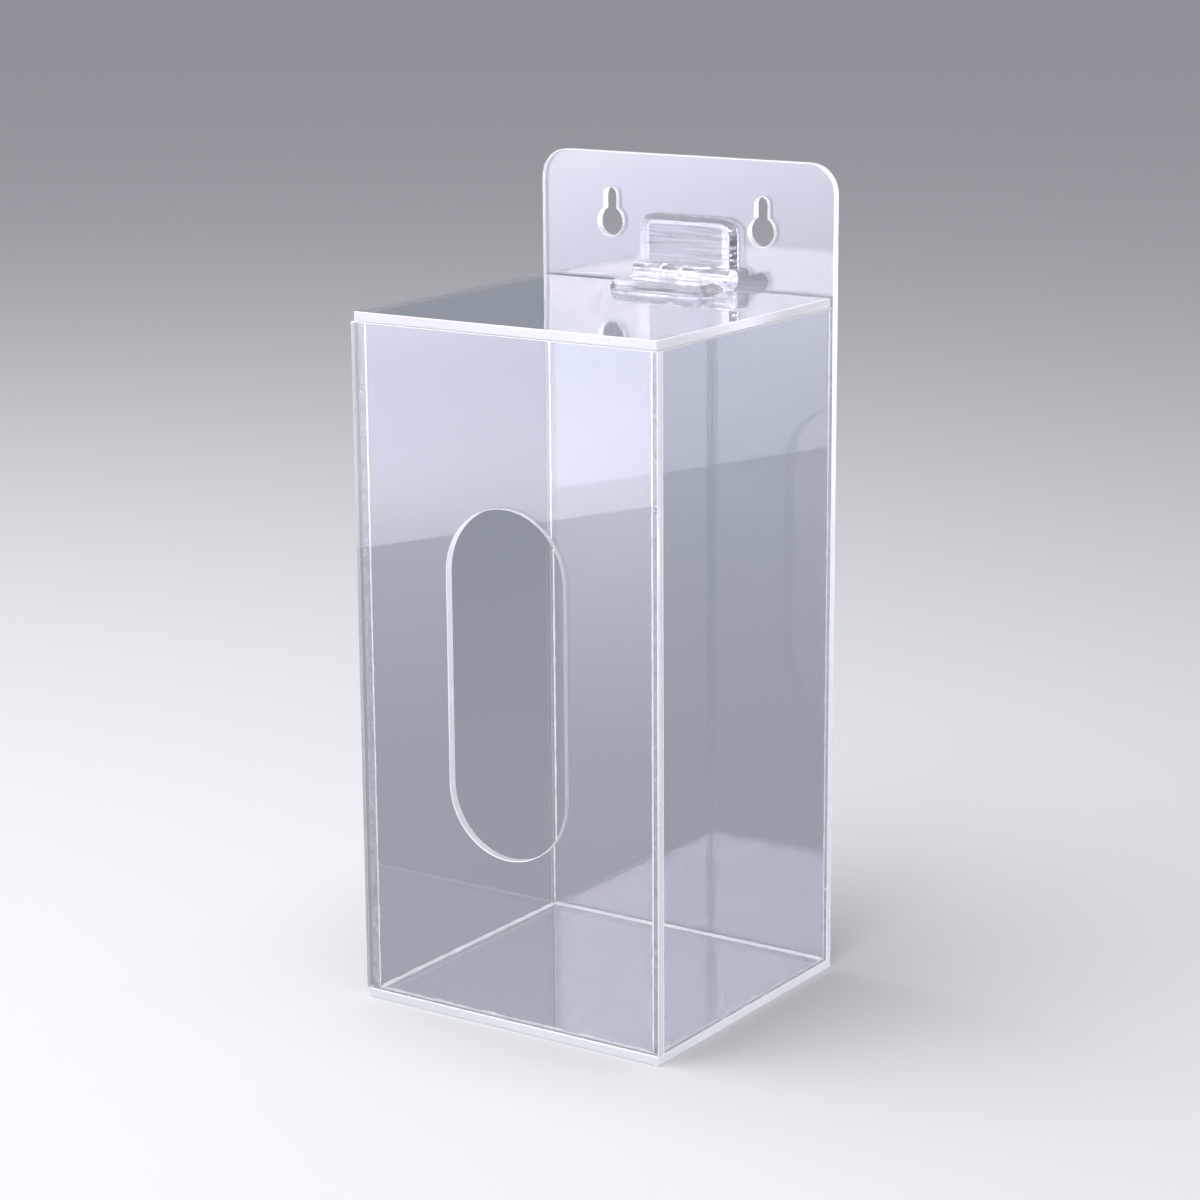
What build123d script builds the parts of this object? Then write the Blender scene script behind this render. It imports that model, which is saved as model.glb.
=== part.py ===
from build123d import *
from math import sqrt
import os

# A wall-mounted glove dispenser of clear acrylic sheet: a tall box with an obround
# opening in its front, a back sheet that rises above the lid and hangs on two keyholes,
# and a lid on a clear butt hinge. Millimetres; +X to the right, +Y towards the wall,
# +Z up; the origin is the centre of the footprint, on the floor.

# Sheet stock
sheet = 3.0                # thickness of every sheet
edge_break = 0.2           # chamfer along each cut edge of a sheet
bond = 0.05                # cement film between two bonded pieces

# Box
box_width = 115.0          # outside, left face to right face
box_depth = 108.5          # outside, front face to wall face
lid_top_height = 231.0     # floor to the top face of the closed lid
back_height = 274.0        # floor to the top edge of the back sheet
back_corner_radius = 10.0  # the back sheet's two top corners
front_overhang = 1.3       # how far the front sheet passes the left face

# Opening in the front sheet
opening_width = 45.0
opening_height = 115.0

# Keyholes in the back sheet
keyhole_spacing = 59.5     # centre to centre
keyhole_drop = 23.5        # top edge of the back sheet to the centre of the round hole
keyhole_head = 10.0        # diameter of the round hole
keyhole_slot = 5.0         # width of the slot above it
keyhole_rise = 9.0         # centre of the round hole to the centre of the slot's end

# Lid
lid_gap = 0.3              # wall tops to the underside of the closed lid
lid_swing_gap = 0.1        # wall tops to the lid's rear lower edge as it swings past

# Butt hinge
hinge_length = 38.4
hinge_shift = 2.2          # middle of the box to the middle of the hinge
leaf_reach = 19.8          # pin axis to the free edge of a leaf
leaf_corner = 5.5          # radius of a leaf's two free corners
leaf_bevel = 1.6           # width of the bevel round a leaf's three free edges
leaf_land = 0.9            # upright edge left below the bevel
leaf_fold_gap = 0.1        # pin axis plane to the inner face of a leaf
barrel_diameter = 6.6
barrel_gap = 0.2           # barrel to the sheets beside it
inner_knuckle = 8.0        # barrel length that each of the two middle knuckles takes
knuckle_gap = 0.3          # between neighbouring knuckles
knuckle_relief = 0.3       # barrel to the root edge of a leaf
pin_diameter = 2.0
pin_clearance = 0.05       # radial
pin_chamfer = 0.3

# Places of the box's faces
overall_width = box_width + front_overhang
x_right = overall_width / 2
x_left = x_right - box_width
x_middle = (x_left + x_right) / 2
y_front = -box_depth / 2
y_wall = box_depth / 2
y_inside_front = y_front + sheet
y_inside_back = y_wall - sheet
wall_foot = sheet + bond
wall_top = lid_top_height - sheet - lid_gap
wall_height = wall_top - wall_foot
opening_middle = (wall_top + wall_foot) / 2
keyhole_height = back_height - keyhole_drop

# Places of the hinge, measured from the faces that its leaves are cemented to
barrel_radius = barrel_diameter / 2
axis_offset = barrel_radius + barrel_gap
y_axis = y_inside_back - axis_offset
z_axis = lid_top_height + axis_offset
x_hinge = x_middle + hinge_shift
leaf_root = barrel_radius + knuckle_relief
leaf_thickness = axis_offset - leaf_fold_gap - bond
bore_radius = pin_diameter / 2 + pin_clearance

# The lid's rear edge stands behind the pin by as much as its lower corner can swing
# past the wall tops: the two reaches are the sides of a right-angled triangle.
lid_drop = axis_offset + sheet
lid_tail = sqrt((lid_drop + lid_gap - lid_swing_gap) ** 2 - lid_drop**2)
lid_depth = y_axis + lid_tail - y_front


def broken(body):
    """A sheet with a small chamfer along all of its edges."""
    return chamfer(body.edges(), edge_break)


def upright(outline, y_face):
    """A sheet cut to an outline drawn in X and Z, its front face at y_face."""
    return Pos(0, y_face, 0) * extrude(Plane.XZ * outline, -sheet)


def bottom_panel():
    """The full footprint of the box; the upright sheets stand on it."""
    return broken(Pos(x_middle, 0, sheet / 2) * Box(box_width, box_depth, sheet))


def front_panel():
    """Full width, with the obround opening in the middle of its height."""
    blank = Pos(0, opening_middle) * Rectangle(overall_width, wall_height)
    opening = Pos(x_middle, opening_middle) * SlotOverall(opening_height, opening_width, rotation=90)
    return broken(upright(blank - opening, y_front))


def side_panel(x_middle_of_sheet):
    """A plain upright that fits between the front and back sheets."""
    length = y_inside_back - y_inside_front - 2 * bond
    body = Box(sheet, length, wall_height)
    return broken(Pos(x_middle_of_sheet, 0, opening_middle) * body)


def keyhole(x_centre):
    """A round hole with a narrower slot rising from it, drawn in X and Z."""
    head = Pos(x_centre, keyhole_height) * Circle(keyhole_head / 2)
    slot = Pos(x_centre, keyhole_height + keyhole_rise / 2) * Rectangle(keyhole_slot, keyhole_rise)
    slot_end = Pos(x_centre, keyhole_height + keyhole_rise) * Circle(keyhole_slot / 2)
    return head + slot + slot_end


def back_panel():
    """Full width and the tallest sheet, with rounded top corners and two keyholes."""
    height = back_height - wall_foot
    blank = Pos(x_middle, wall_foot + height / 2) * Rectangle(box_width, height)
    top_corners = blank.vertices().group_by(Axis.Y)[-1]
    outline = fillet(top_corners, back_corner_radius)
    for side in (-1, 1):
        outline -= keyhole(x_middle + side * keyhole_spacing / 2)
    return broken(upright(outline, y_inside_back))


def lid_panel():
    """Lies on the wall tops, flush with the front and the two sides."""
    body = Box(box_width, lid_depth, sheet)
    return broken(Pos(x_middle, y_front + lid_depth / 2, lid_top_height - sheet / 2) * body)


def leaf_plate():
    """A hinge leaf's plate, lying under the pin axis and pointing to -Y from it.

    Its three free edges are bevelled, from a low upright land up to the inner face.
    """
    width = leaf_reach - leaf_root
    blank = Pos(0, -(leaf_reach + leaf_root) / 2) * Rectangle(hinge_length, width)
    free_corners = blank.vertices().group_by(Axis.Y)[0]
    outline = fillet(free_corners, leaf_corner)
    plate = Pos(0, 0, bond - axis_offset) * extrude(outline, leaf_thickness)
    inner_face = plate.faces().sort_by(Axis.Z)[-1]
    free_edges = inner_face.edges().sort_by(Axis.Y)[:-1]
    return chamfer(free_edges, leaf_bevel, leaf_thickness - leaf_land, reference=inner_face)


def knuckle(x_start, x_end):
    """A length of the barrel, and the web that joins it to its plate."""
    length = x_end - x_start - knuckle_gap
    x_centre = (x_start + x_end) / 2
    barrel = Pos(x_centre, 0, 0) * Rot(0, 90, 0) * Cylinder(barrel_radius, length)
    web = Pos(x_centre, -leaf_root / 2, bond - axis_offset + leaf_thickness / 2)
    return barrel + web * Box(length, leaf_root, leaf_thickness)


def leaf():
    """One moulded leaf, about the pin axis: a plate, an inner and an outer knuckle, a bore.

    Turned end for end, the same leaf has its knuckles where this one has its spaces.
    """
    body = leaf_plate()
    body += knuckle(-inner_knuckle, 0)
    body += knuckle(inner_knuckle, hinge_length / 2)
    return body - Rot(0, 90, 0) * Cylinder(bore_radius, 2 * hinge_length)


def hinge_lid_leaf():
    """Cemented to the lid's top face."""
    return Pos(x_hinge, y_axis, z_axis) * leaf()


def hinge_back_leaf():
    """The same leaf turned half round about the corner's diagonal, on the back sheet."""
    corner_diagonal = Axis((0, 0, 0), (0, -1, 1))
    return Pos(x_hinge, y_axis, z_axis) * leaf().rotate(corner_diagonal, 180)


def hinge_pin():
    """A plain rod through all the knuckles, its ends chamfered."""
    rod = Rot(0, 90, 0) * Cylinder(pin_diameter / 2, hinge_length)
    ends = rod.edges().filter_by(GeomType.CIRCLE)
    return Pos(x_hinge, y_axis, z_axis) * chamfer(ends, pin_chamfer)


pieces = {
    "bottom_panel": bottom_panel(),
    "front_panel": front_panel(),
    "left_panel": side_panel(x_left + sheet / 2),
    "right_panel": side_panel(x_right - sheet / 2),
    "back_panel": back_panel(),
    "lid_panel": lid_panel(),
    "hinge_back_leaf": hinge_back_leaf(),
    "hinge_lid_leaf": hinge_lid_leaf(),
    "hinge_pin": hinge_pin(),
}

os.makedirs("parts", exist_ok=True)
for name, piece in pieces.items():
    export_step(piece, f"parts/{name}.step")
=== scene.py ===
import bpy
import numpy as np
from mathutils import Euler, Matrix, Vector

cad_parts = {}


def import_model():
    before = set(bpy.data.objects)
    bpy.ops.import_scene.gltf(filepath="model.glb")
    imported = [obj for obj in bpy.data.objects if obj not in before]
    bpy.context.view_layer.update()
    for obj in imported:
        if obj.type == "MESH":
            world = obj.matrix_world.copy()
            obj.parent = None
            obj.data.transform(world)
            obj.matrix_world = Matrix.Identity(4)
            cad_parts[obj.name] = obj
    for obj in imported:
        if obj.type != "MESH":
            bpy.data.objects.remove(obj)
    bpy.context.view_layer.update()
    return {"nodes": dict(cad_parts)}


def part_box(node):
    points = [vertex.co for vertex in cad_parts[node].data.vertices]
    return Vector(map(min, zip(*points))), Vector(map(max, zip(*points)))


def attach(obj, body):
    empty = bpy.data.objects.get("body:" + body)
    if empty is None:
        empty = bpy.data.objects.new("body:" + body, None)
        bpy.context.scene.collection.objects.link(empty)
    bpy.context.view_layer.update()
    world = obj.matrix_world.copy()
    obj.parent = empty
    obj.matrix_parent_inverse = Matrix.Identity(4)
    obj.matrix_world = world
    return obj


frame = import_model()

# A wall-hung glove dispenser of clear acrylic sheet. The sheets and the butt hinge come from
# the frame; this script finishes them and adds the cement that ran out of their joints.
# Metres, on the frame's axes: +X to the right, +Y towards the wall, +Z up.

mm = 0.001

# Camera: where it stands, in metres, and how it looks at the box, in degrees
camera_place = (0.5707, -0.8454, 0.3795)
camera_azimuth = 34.003
camera_elevation = 13.598
camera_roll = -0.382
camera_lens = 95.6
camera_sensor = 36.0

# Joints
cut_edge_break = 0.2 * mm     # chamfer along the cut edges, which cement doesn't reach
cement_reach = 0.1 * mm       # how far each side of a joint's gap counts as the joint
leaf_root = 3.6 * mm          # pin axis to the root edge of a leaf's plate
leaf_corner = 5.5 * mm        # radius of a leaf's free corners
leaf_face = 0.025 * mm        # a leaf's face to the middle of the gap under it
gap_weight = 1000             # how much more a distance across the gap counts than one along it
touching = 0.001 * mm         # what lies this far outside a joint still counts as in it
patch_left = 4.1 * mm         # the back leaf's cement stops this far short of its left edge,
patch_right = 5.8 * mm        # of its right edge,
patch_top = 3.1 * mm          # and of its top edge
patch_corner = 1.5 * mm       # radius of that patch's corners

# Acrylic sheet
acrylic_ior = 1.49
wetted_ior = 1.0005           # cement fills the gap between two faces, so they bend no light
face_limit = 0.8              # a sheet's face has more of its normal across the sheet than this
chamfer_limit = 0.5           # and a chamfer has more than this
cut_scatter = 0.26            # share of the light that a cut edge scatters
broken_scatter = 0.7          # the same on the chamfer beside it
cut_roughness = 0.5
painted_edge_light = 0.1               # painted light: how much light a cut edge gives off of its own, for the light inside its sheet

# The films of cement in the box's joints
clear_film = 0.25             # share of the light that a film scatters where it is clearest
cloudy_film = 0.55            # the same where it is cloudiest
cloud_size = 3.333 * mm
cloud_range = (0.3, 0.75)     # from the noise of the clearest film to that of the cloudiest
bubble_spacing = 0.9 * mm     # coarser than real bubbles, so that they show
bubble_drift = 16.67 * mm     # how far apart the stretches with more bubbles lie
drift_range = (0.45, 0.65)    # from the noise that leaves no bubbles to the one with the largest
largest_bubble = 0.26         # radius, as a share of the spacing

# The hinge's moulded acrylic
mould_roughness = 0.02
ripple_size = 2.083 * mm
ripple_stretch = 8.333        # how many times longer they are along the hinge than across it
ripple_height = 0.4 * mm
ripple_strength = 0.8

# Beads of dried cement in the box's inside corners
bead_leg = 0.8 * mm           # along the feet of the walls
corner_leg = 0.35 * mm        # in the upright corners
bead_gap = 0.02 * mm          # how far a bead lies off the faces, so that no two coincide
bead_step = 1.0 * mm          # between the sections along a bead
bead_points = 5               # along a section's arc
bead_waves = 6                # sines that make a bead's leg swell
bead_swell = 0.5              # the most that they add up to, as a share of the leg
shortest_wave = 3 * mm
longest_wave = 20 * mm
bead_taper = 2 * mm           # length over which a bead thins towards its end
bead_end = 0.33               # share of the leg that is left there
cement_roughness = 0.3
# painted light: how much light the dried cement gives off of its own
painted_cement_light = 0.3
milk_size = 4.0 * mm
milk_range = (0.35, 0.7)      # from the noise of white cement to that of the clearest
clearest_cement = 0.3         # share of the light that a bead lets through at most

# Softbox: the middle of its lower edge, the way that edge runs, and its size, in metres
lamp_foot = (-0.45, -0.672, 0.0)
lamp_edge = (0.9694, 0.0699, 0.2353)
lamp_width = 1.6
lamp_height = 0.9
lamp_radiance = 9.0

# Its brightness: the height above its lower edge, the share of its radiance, and the tint
cool_tint = (0.98, 0.98, 1.15)
lamp_stops = (
    (0.0, 0.18, cool_tint), (0.024, 0.26, cool_tint), (0.046, 0.335, cool_tint),
    (0.068, 0.39, cool_tint), (0.10, 0.46, cool_tint), (0.13, 0.57, cool_tint),
    (0.16, 0.65, (0.99, 1.0, 1.18)), (0.20, 0.80, (1.0, 0.98, 1.13)),
    (0.28, 0.94, (1.0, 0.95, 1.08)), (0.35, 1.0, (1.0, 0.93, 1.06)),
)

# Overhead lamp, in metres and watts
overhead_place = (-0.3, -0.5, 1.3)
overhead_size = 1.4
overhead_power = 24.0

# Surroundings: ways are directions on the floor's plane, a stop is the upward part of a
# direction with the linear colour that is seen there, and a turn says from where on a thing
# begins to show and from where on it shows in full.
lamp_way = (-0.56, -0.82, 0.0)
table_turn = (0.0, 0.7)
paper_way = (0.56, 0.82, 0.0)
paper_turn = (0.7, 0.95)
backdrop_stops = (
    (-0.5, (0.33, 0.34, 0.39)), (-0.30, (0.31, 0.325, 0.375)), (-0.20, (0.27, 0.292, 0.34)),
    (-0.10, (0.22, 0.245, 0.275)), (0.30, (0.30, 0.32, 0.36)), (0.6, (1.5, 1.5, 1.6)),
)
table_stops = (
    (-0.6, (0.5, 0.5, 0.55)), (-0.33, (0.62, 0.54, 0.60)), (-0.28, (0.85, 0.75, 0.85)),
    (-0.24, (1.42, 1.33, 1.5)), (-0.20, (2.1, 2.1, 2.3)), (-0.16, (0.2, 0.2, 0.25)),
    (0.5, (0.2, 0.2, 0.25)), (0.8, (1.5, 1.5, 1.6)),
)
paper_stops = ((-0.21, (0, 0, 0)), (-0.13, (0.9, 0.9, 0.95)), (0.2, (0.9, 0.9, 0.95)))
scattered_stops = ((0.4, (1.1, 1.1, 1.16)), (0.6, (0.15, 0.15, 0.17)))
plain_backdrop = (0.72, 0.735, 0.76, 1.0)

# Floor
floor_half = 15.0
floor_drop = 0.2 * mm         # below the box, so that their faces don't coincide
floor_color = (0.72, 0.73, 0.75, 1.0)


def hex_color(text):
    """An sRGB hex colour as linear red, green, blue and alpha."""
    values = np.array([int(text[i:i + 2], 16) for i in (0, 2, 4)]) / 255
    linear = np.where(values <= 0.04045, values / 12.92, ((values + 0.055) / 1.055) ** 2.4)
    return (*linear, 1.0)


def add_node(tree, kind, inputs=(), output=0, **options):
    """Adds a node, sets its options, fills its sockets and gives one of its outputs.

    The inputs are values or other nodes' outputs, listed in order or by name. Where no output
    is asked for, it gives the node.
    """
    node = tree.nodes.new("ShaderNode" + kind)
    for option, value in options.items():
        setattr(node, option, value)
    named = inputs if isinstance(inputs, dict) else dict(enumerate(inputs))
    for socket, value in named.items():
        if isinstance(value, bpy.types.NodeSocket):
            tree.links.new(value, node.inputs[socket])
        else:
            node.inputs[socket].default_value = value
    return node if output is None else node.outputs[output]


def new_material(name):
    """An empty node material and its tree."""
    material = bpy.data.materials.new(name)
    material.use_nodes = True
    material.node_tree.nodes.clear()
    return material, material.node_tree


def joint(first, second, axis):
    """The space between two sheets that meet face to face along an axis.

    It is the overlap of their outlines, less the broken edges. Its values are its middle, its
    half sizes, the radius of its corners, and the axis across the gap.
    """
    low_a, high_a = (np.array(v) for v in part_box(first))
    low_b, high_b = (np.array(v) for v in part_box(second))
    low = np.maximum(low_a, low_b) + cut_edge_break
    high = np.minimum(high_a, high_b) - cut_edge_break
    low[axis] = min(high_a[axis], high_b[axis]) - cement_reach
    high[axis] = max(low_a[axis], low_b[axis]) + cement_reach
    return (low + high) / 2, (high - low) / 2, 0.0, axis


def lid_leaf_joint():
    """The space under the lid leaf's plate, from its root edge to its free edge."""
    low, high = (np.array(v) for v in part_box("hinge_lid_leaf"))
    high[1] = pin_axis[1] - leaf_root
    gap = low[2] - leaf_face
    low[2], high[2] = gap - cement_reach, gap + cement_reach
    return (low + high) / 2, (high - low) / 2, leaf_corner, 2


def back_leaf_joint():
    """The patch of cement behind the back leaf's plate, which stops short of its edges."""
    low, high = (np.array(v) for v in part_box("hinge_back_leaf"))
    low[0], high[0] = low[0] + patch_left, high[0] - patch_right
    low[2], high[2] = pin_axis[2] + leaf_root, high[2] - patch_top
    gap = high[1] + leaf_face
    low[1], high[1] = gap - cement_reach, gap + cement_reach
    return (low + high) / 2, (high - low) / 2, patch_corner, 1


ends = ("front_panel", "back_panel")
sides = ("left_panel", "right_panel")
bonds = [("bottom_panel", wall, 2) for wall in ends + sides]
bonds += [(end, side, 1) for end in ends for side in sides]
node_films = {node: [] for node in frame["nodes"]}
for first, second, axis in bonds:
    space = joint(first, second, axis)
    node_films[first].append(space)
    node_films[second].append(space)

pin_axis = sum(np.array(v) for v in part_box("hinge_pin")) / 2
node_floods = {node: [] for node in frame["nodes"]}
node_floods["hinge_back_leaf"] = node_floods["back_panel"] = [back_leaf_joint()]
node_floods["hinge_lid_leaf"] = node_floods["lid_panel"] = [lid_leaf_joint()]


def in_joint(tree, place, space):
    """1 inside a joint's space with rounded corners, and 0 outside.

    The distance outside the space, less its corner radius, is measured along the two axes in
    the plane of the joint; across the gap any distance outside counts a thousandfold.
    """
    middle, half, corner, axis = space
    inner = half - corner
    inner[axis] = half[axis]
    weights = np.ones(3)
    weights[axis] = gap_weight
    offset = add_node(tree, "VectorMath", (place, tuple(middle)), operation="SUBTRACT")
    offset = add_node(tree, "VectorMath", (offset,), operation="ABSOLUTE")
    outside = add_node(tree, "VectorMath", (offset, tuple(inner)), operation="SUBTRACT")
    outside = add_node(tree, "VectorMath", (outside, (0, 0, 0)), operation="MAXIMUM")
    outside = add_node(tree, "VectorMath", (outside, tuple(weights)), operation="MULTIPLY")
    distance = add_node(tree, "VectorMath", (outside,), "Value", operation="LENGTH")
    return add_node(tree, "Math", (distance, corner + touching), operation="LESS_THAN")


def in_joints(tree, place, spaces):
    """1 inside any of the spaces, and 0 outside them all."""
    inside = 0.0
    for space in spaces:
        values = (inside, in_joint(tree, place, space))
        inside = add_node(tree, "Math", values, operation="MAXIMUM")
    return inside


def masked(tree, mask, inside, outside):
    """One number where a mask is 1 and another where it is 0; with no mask, the other."""
    if not isinstance(mask, bpy.types.NodeSocket):
        return outside
    return add_node(tree, "Math", (mask, inside - outside, outside), operation="MULTIPLY_ADD")


def between_bubbles(tree, place):
    """0 inside the round bubbles of a cement film, and 1 in the film between them.

    They are the middles of Voronoi cells as wide as their spacing, and a slow noise thins
    them out.
    """
    cell = add_node(tree, "TexVoronoi", {"Vector": place, "Scale": 1 / bubble_spacing})
    drift = add_node(tree, "TexNoise", {"Vector": place, "Scale": 1 / bubble_drift, "Detail": 1.0})
    radius = add_node(tree, "MapRange", (drift, *drift_range, 0.0, largest_bubble))
    return add_node(tree, "Math", (cell, radius), operation="GREATER_THAN")


def acrylic_sheet(node, films, floods):
    """Cast acrylic sheet, cut and flame polished: clear glossy faces and whitish edges.

    A cut edge scatters part of the light that meets it, so it looks white, and it is given a
    little painted light: it gives off light of its own, for what the sheet carries to it. A face
    that cement wets bends no light. The films in the box's joints are hazy, but for the round
    bubbles that stay in them, and the floods under the hinge are clear.
    """
    material, tree = new_material(f"cast_acrylic_{node}")
    low, high = (np.array(v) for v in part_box(node))
    place = add_node(tree, "TexCoord", output="Object")
    normal = add_node(tree, "TexCoord", output="Normal")
    across = add_node(tree, "SeparateXYZ", (normal,), int(np.argmin(high - low)))
    across = add_node(tree, "Math", (across,), operation="ABSOLUTE")
    edge = add_node(tree, "Math", (across, face_limit), operation="LESS_THAN")
    chamfer = add_node(tree, "Math", (across, chamfer_limit), operation="GREATER_THAN")

    filmed = in_joints(tree, place, films)
    if films:
        unbroken = between_bubbles(tree, place)
        filmed = add_node(tree, "Math", (filmed, unbroken), operation="MULTIPLY")
    wetted = add_node(tree, "Math", (filmed, in_joints(tree, place, floods)), operation="MAXIMUM")
    dry = add_node(tree, "Math", (1.0, wetted), operation="SUBTRACT")
    dry_edge = add_node(tree, "Math", (edge, dry), operation="MULTIPLY")

    cloud = add_node(tree, "TexNoise", {"Vector": place, "Scale": 1 / cloud_size, "Detail": 3.0})
    haze = add_node(tree, "MapRange", (cloud, *cloud_range, clear_film, cloudy_film))
    frost = masked(tree, chamfer, broken_scatter, cut_scatter)
    scattered = add_node(tree, "Math", (dry_edge, frost), operation="MULTIPLY")
    scattered = add_node(tree, "Math", (filmed, haze, scattered), operation="MULTIPLY_ADD")
    clear = add_node(tree, "Math", (1.0, scattered), operation="SUBTRACT")
    rough = add_node(tree, "Math", (dry_edge, cut_roughness), operation="MULTIPLY")
    # Painted light: the dry cut edges give off light of their own, for the light that the sheet
    # carries to them
    painted_glow = add_node(tree, "Math", (dry_edge, painted_edge_light), operation="MULTIPLY")
    shader = add_node(tree, "BsdfPrincipled", {
        "Base Color": hex_color("fcfdff"), "Roughness": rough,
        "IOR": masked(tree, wetted, wetted_ior, acrylic_ior), "Transmission Weight": clear,
        "Emission Color": hex_color("f4f5fb"), "Emission Strength": painted_glow})
    add_node(tree, "OutputMaterial", (shader,), None)
    material.cycles.emission_sampling = "NONE"
    return material


def moulded_acrylic(node, floods):
    """Injection moulded acrylic: clear, with the soft ripple of the mould."""
    material, tree = new_material(f"moulded_acrylic_{node}")
    place = add_node(tree, "TexCoord", output="Object")
    wetted = in_joints(tree, place, floods)
    drawn_out = add_node(tree, "VectorMath", (place, (1 / ripple_stretch, 1.0, 1.0)),
                         operation="MULTIPLY")
    ripple = add_node(tree, "TexNoise", {
        "Vector": drawn_out, "Scale": 1 / ripple_size, "Detail": 1.5})
    bump = add_node(tree, "Bump", {
        "Height": ripple, "Distance": ripple_height,
        "Strength": masked(tree, wetted, 0.0, ripple_strength)})
    shader = add_node(tree, "BsdfPrincipled", {
        "Base Color": hex_color("ececee"), "Roughness": mould_roughness,
        "IOR": masked(tree, wetted, wetted_ior, acrylic_ior), "Transmission Weight": 1.0,
        "Normal": bump})
    add_node(tree, "OutputMaterial", (shader,), None)
    return material


for node, piece in frame["nodes"].items():
    if node.endswith("_panel"):
        finish = acrylic_sheet(node, node_films[node], node_floods[node])
    else:
        finish = moulded_acrylic(node, node_floods[node])
    piece.data.materials.clear()
    piece.data.materials.append(finish)


def dried_cement():
    """Solvent cement that ran out of a joint and dried: white and glossy, and clearer in places.

    It is given a little painted light: it gives off light of its own, for what the sheets carry to
    it.
    """
    material, tree = new_material("dried_solvent_cement")
    place = add_node(tree, "TexCoord", output="Object")
    milk = add_node(tree, "TexNoise", {"Vector": place, "Scale": 1 / milk_size, "Detail": 2.0})
    clear = add_node(tree, "MapRange", (milk, *milk_range, 0.0, clearest_cement))
    # Painted light: the cement gives off light of its own, for the light that the sheets carry to
    # it
    shader = add_node(tree, "BsdfPrincipled", {
        "Base Color": hex_color("fafafc"), "Roughness": cement_roughness, "IOR": acrylic_ior,
        "Transmission Weight": clear, "Emission Color": hex_color("f4f5fb"),
        "Emission Strength": painted_cement_light})
    add_node(tree, "OutputMaterial", (shader,), None)
    material.cycles.emission_sampling = "NONE"
    return material


cement = dried_cement()


def bead(name, start, end, side_a, side_b, leg, seed):
    """A bead of cement in the corner between two faces.

    Its section runs from one face to the other along a quarter circle that sags towards the
    corner, and is carried along the corner's straight line. Along the way its leg swells and
    thins as leg * (1 + a sum of sines), and it tapers at its ends.
    """
    start, end, side_a, side_b = (np.array(v, float) for v in (start, end, side_a, side_b))
    length = np.linalg.norm(end - start)
    sections = int(length / bead_step)
    along = np.linspace(0, 1, sections)[:, None]
    draw = np.random.default_rng(seed)
    waves = draw.uniform(shortest_wave, longest_wave, bead_waves)
    phases = draw.uniform(0, 2 * np.pi, bead_waves)
    sines = np.sin(2 * np.pi * along * length / waves + phases)
    swell = sines.sum(1, keepdims=True) * bead_swell / bead_waves
    taper = np.clip(np.minimum(along, 1 - along) * length / bead_taper, bead_end, 1)
    size = leg * (1 + swell) * taper

    turn = np.linspace(0, np.pi / 2, bead_points)
    out_a = np.append(1 - np.sin(turn), 0)
    out_b = np.append(1 - np.cos(turn), 0)
    profile = out_a[:, None] * side_a + out_b[:, None] * side_b
    line = start + along * (end - start) + bead_gap * (side_a + side_b)
    rings = profile[None] * size[..., None] + line[:, None]

    count = len(profile)
    row = np.arange(sections - 1)[:, None] * count
    column = np.arange(count)[None]
    after = (column + 1) % count
    quads = np.stack([row + column, row + after, row + count + after, row + count + column], -1)
    first_end = list(range(count))[::-1]
    last_end = list(range((sections - 1) * count, sections * count))
    faces = quads.reshape(-1, 4).tolist() + [first_end, last_end]
    if np.dot(np.cross(side_a, side_b), end - start) > 0:
        faces = [face[::-1] for face in faces]

    mesh = bpy.data.meshes.new(name)
    mesh.from_pydata(rings.reshape(-1, 3).tolist(), [], faces)
    mesh.materials.append(cement)
    piece = bpy.data.objects.new(name, mesh)
    bpy.context.scene.collection.objects.link(piece)
    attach(piece, "box")


x_low, x_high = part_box("left_panel")[1][0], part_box("right_panel")[0][0]
y_low, y_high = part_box("front_panel")[1][1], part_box("back_panel")[0][1]
z_low, z_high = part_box("bottom_panel")[1][2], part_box("left_panel")[1][2]
to_right, to_wall, to_top = (1, 0, 0), (0, 1, 0), (0, 0, 1)
to_left, to_front = (-1, 0, 0), (0, -1, 0)
corners = {
    "front_left": (x_low, y_low, to_right, to_wall),
    "front_right": (x_high, y_low, to_left, to_wall),
    "back_left": (x_low, y_high, to_right, to_front),
    "back_right": (x_high, y_high, to_left, to_front),
}
feet = {
    "front": ((x_low, y_low), (x_high, y_low), to_wall),
    "back": ((x_low, y_high), (x_high, y_high), to_front),
    "left": ((x_low, y_low), (x_low, y_high), to_right),
    "right": ((x_high, y_low), (x_high, y_high), to_left),
}
for seed, (corner, (x, y, side_a, side_b)) in enumerate(corners.items()):
    foot, top = (x, y, z_low + bead_leg), (x, y, z_high)
    bead(f"cement_{corner}", foot, top, side_a, side_b, corner_leg, seed)
for seed, (foot, (start, end, side)) in enumerate(feet.items(), len(corners)):
    bead(f"cement_{foot}_foot", (*start, z_low), (*end, z_low), side, to_top, bead_leg, seed)


def camera():
    """The camera at the photograph's viewing angle."""
    data = bpy.data.cameras.new("camera")
    data.lens = camera_lens
    data.sensor_width = camera_sensor
    viewer = bpy.data.objects.new("camera", data)
    bpy.context.scene.collection.objects.link(viewer)
    turn = Euler((np.radians(90 - camera_elevation), 0, np.radians(camera_azimuth))).to_matrix()
    roll = Matrix.Rotation(np.radians(camera_roll), 3, "Z")
    viewer.matrix_world = Matrix.Translation(camera_place) @ (turn @ roll).to_4x4()
    bpy.context.scene.camera = viewer


def paint_ramp(ramp, stops):
    """Sets a colour ramp's stops, each given as its place from 0 to 1 and a colour."""
    while len(ramp.elements) > 1:
        ramp.elements.remove(ramp.elements[0])
    for i, (place, color) in enumerate(stops):
        element = ramp.elements.new(place) if i else ramp.elements[0]
        element.position = place
        element.color = (*color, 1)


def on_scattered_ray(tree):
    """1 on a ray that something has scattered, and 0 on one that was only turned or mirrored."""
    depth = add_node(tree, "LightPath", output="Diffuse Depth")
    return add_node(tree, "Math", (depth, 0.5), operation="GREATER_THAN")


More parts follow.
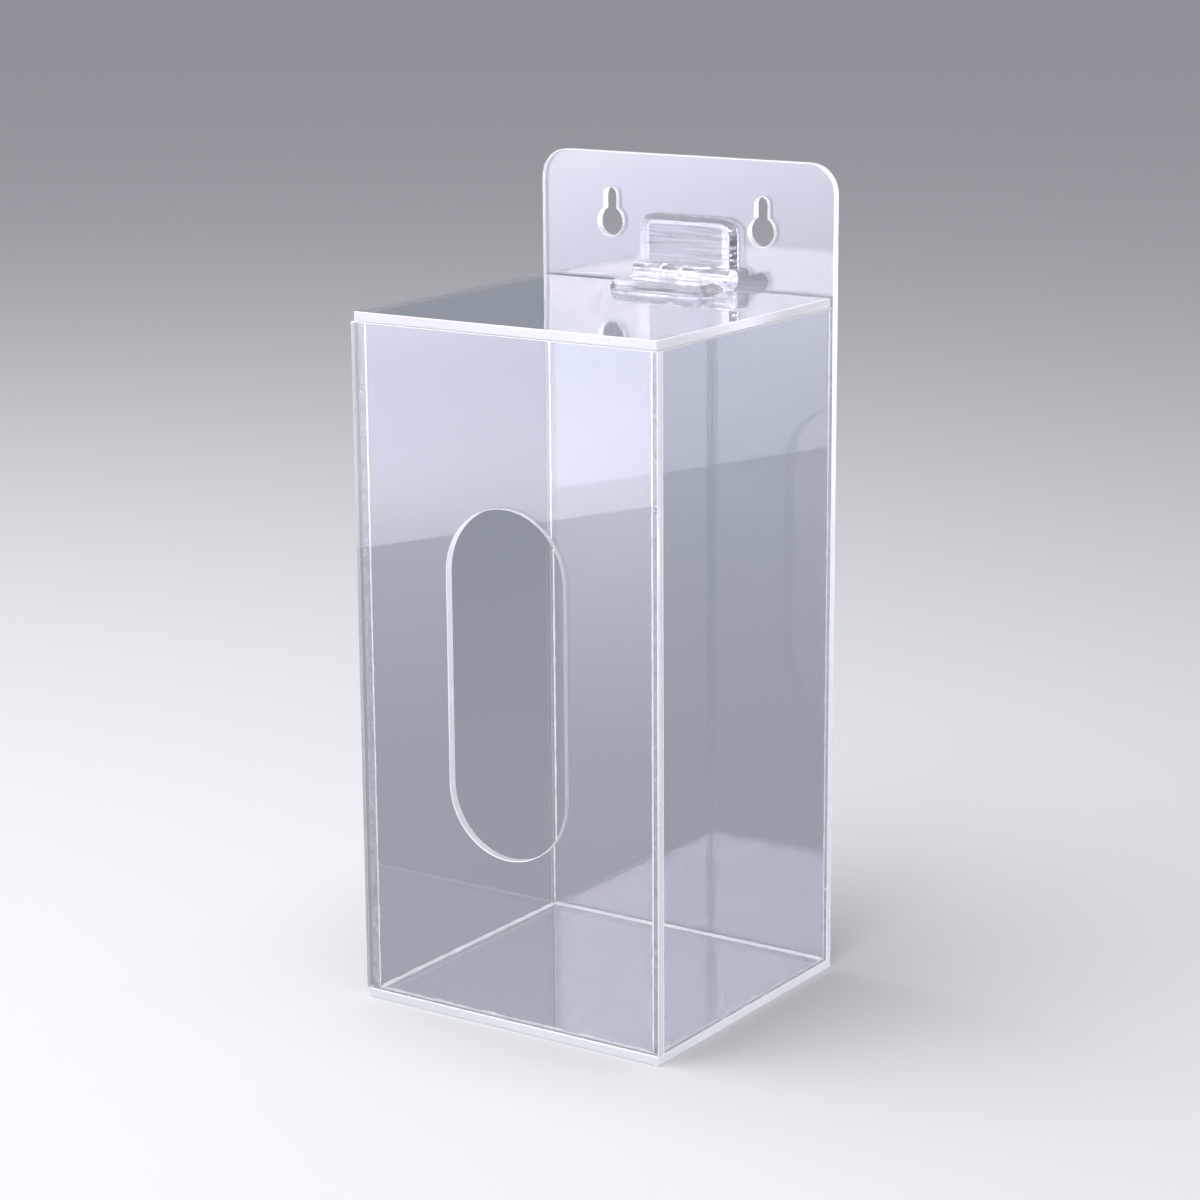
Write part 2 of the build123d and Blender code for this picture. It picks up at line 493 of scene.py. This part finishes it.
def softbox():
    """The large soft lamp before the box, on the left, its lower edge a little tilted.

    It brightens from its lower edge upwards, as a diffuser does that a tube lights from above,
    and what scatters light doesn't see it. Its power makes a strength of 1 a radiance of 1.
    """
    data = bpy.data.lights.new("softbox", "AREA")
    data.shape = "RECTANGLE"
    data.size = lamp_width
    data.size_y = lamp_height
    data.energy = np.pi * lamp_width * lamp_height
    data.use_nodes = True
    tree = data.node_tree
    tree.nodes.clear()
    across = add_node(tree, "NewGeometry", output="Parametric")
    height = add_node(tree, "SeparateXYZ", (across,), "Y")
    rise = add_node(tree, "ValToRGB", (height,), None)
    paint_ramp(rise.color_ramp, [(level / lamp_height, np.array(tint) * share)
                                 for level, share, tint in lamp_stops])
    strength = masked(tree, on_scattered_ray(tree), 0.0, lamp_radiance)
    emission = add_node(tree, "Emission", (rise.outputs[0], strength))
    add_node(tree, "OutputLight", (emission,), None)

    lamp = bpy.data.objects.new("softbox", data)
    bpy.context.scene.collection.objects.link(lamp)
    along = Vector(lamp_edge).normalized()
    facing = Vector((0.0, 1.0, 0.0))
    facing = (facing - facing.dot(along) * along).normalized()
    up = along.cross(facing)
    middle = Vector(lamp_foot) + up * lamp_height / 2
    turn = Matrix((along, up, -facing)).transposed().to_4x4()
    lamp.matrix_world = Matrix.Translation(middle) @ turn
    lamp.visible_camera = False
    lamp.visible_diffuse = False


def overhead_lamp():
    """A soft lamp over the box that only lights what scatters: the floor and the cut edges."""
    data = bpy.data.lights.new("overhead_lamp", "AREA")
    data.shape = "SQUARE"
    data.size = overhead_size
    data.energy = overhead_power
    lamp = bpy.data.objects.new("overhead_lamp", data)
    bpy.context.scene.collection.objects.link(lamp)
    lamp.location = overhead_place
    lamp.visible_camera = False
    lamp.visible_glossy = False
    lamp.visible_transmission = False


def by_height(tree, up, stops):
    """A colour that depends on the height of a direction, from -1 below to 1 above."""
    place = add_node(tree, "Math", (up, 0.5, 0.5), operation="MULTIPLY_ADD")
    ramp = add_node(tree, "ValToRGB", (place,), None)
    paint_ramp(ramp.color_ramp, [(0.5 + 0.5 * height, color) for height, color in stops])
    return ramp.outputs[0]


def towards(tree, direction, way, turn):
    """How far a direction is turned to a way, from 0 to 1, rising smoothly over a turn."""
    inputs = (direction, way)
    along = add_node(tree, "VectorMath", inputs, "Value", operation="DOT_PRODUCT")
    return add_node(tree, "MapRange", (along, *turn), interpolation_type="SMOOTHSTEP")


def world():
    """Soft studio surroundings: grey behind the box, a pale table before it on the left.

    White paper stands behind it on the right. What scatters light sees plain pale
    surroundings, and the camera sees a plain backdrop.
    """
    surroundings = bpy.data.worlds.new("studio")
    bpy.context.scene.world = surroundings
    surroundings.use_nodes = True
    surroundings.cycles.sampling_method = "NONE"
    tree = surroundings.node_tree
    tree.nodes.clear()
    direction = add_node(tree, "TexCoord", output="Generated")
    up = add_node(tree, "SeparateXYZ", (direction,), "Z")
    backdrop = by_height(tree, up, backdrop_stops)
    table = by_height(tree, up, table_stops)
    paper = by_height(tree, up, paper_stops)
    plain = by_height(tree, up, scattered_stops)
    to_table = towards(tree, direction, lamp_way, table_turn)
    to_paper = towards(tree, direction, paper_way, paper_turn)
    camera_ray = add_node(tree, "LightPath", output="Is Camera Ray")
    lit = add_node(tree, "MixRGB", (to_table, backdrop, table))
    lit = add_node(tree, "MixRGB", (to_paper, lit, paper), blend_type="ADD")
    lit = add_node(tree, "MixRGB", (on_scattered_ray(tree), lit, plain))
    seen = add_node(tree, "MixRGB", (camera_ray, lit, plain_backdrop))
    background = add_node(tree, "Background", (seen,))
    add_node(tree, "OutputWorld", (background,), None)


def floor():
    """A plain pale floor that only the camera sees."""
    mesh = bpy.data.meshes.new("floor")
    corner_signs = ((-1, -1), (1, -1), (1, 1), (-1, 1))
    mesh.from_pydata([(x * floor_half, y * floor_half, 0) for x, y in corner_signs],
                     [], [(0, 1, 2, 3)])
    ground = bpy.data.objects.new("floor", mesh)
    ground.location.z = -floor_drop
    bpy.context.scene.collection.objects.link(ground)
    material, tree = new_material("pale_floor")
    shader = add_node(tree, "BsdfDiffuse", {"Color": floor_color})
    add_node(tree, "OutputMaterial", (shader,), None)
    mesh.materials.append(material)
    ground.visible_diffuse = False
    ground.visible_glossy = False
    ground.visible_transmission = False


camera()
world()
softbox()
overhead_lamp()
floor()

# Light that a sheet carries to its far edge is turned back some 30 times on the way
scene = bpy.context.scene
scene.view_settings.view_transform = "Standard"
scene.cycles.max_bounces = 64
scene.cycles.transmission_bounces = 48
scene.cycles.glossy_bounces = 48
scene.cycles.transparent_max_bounces = 32
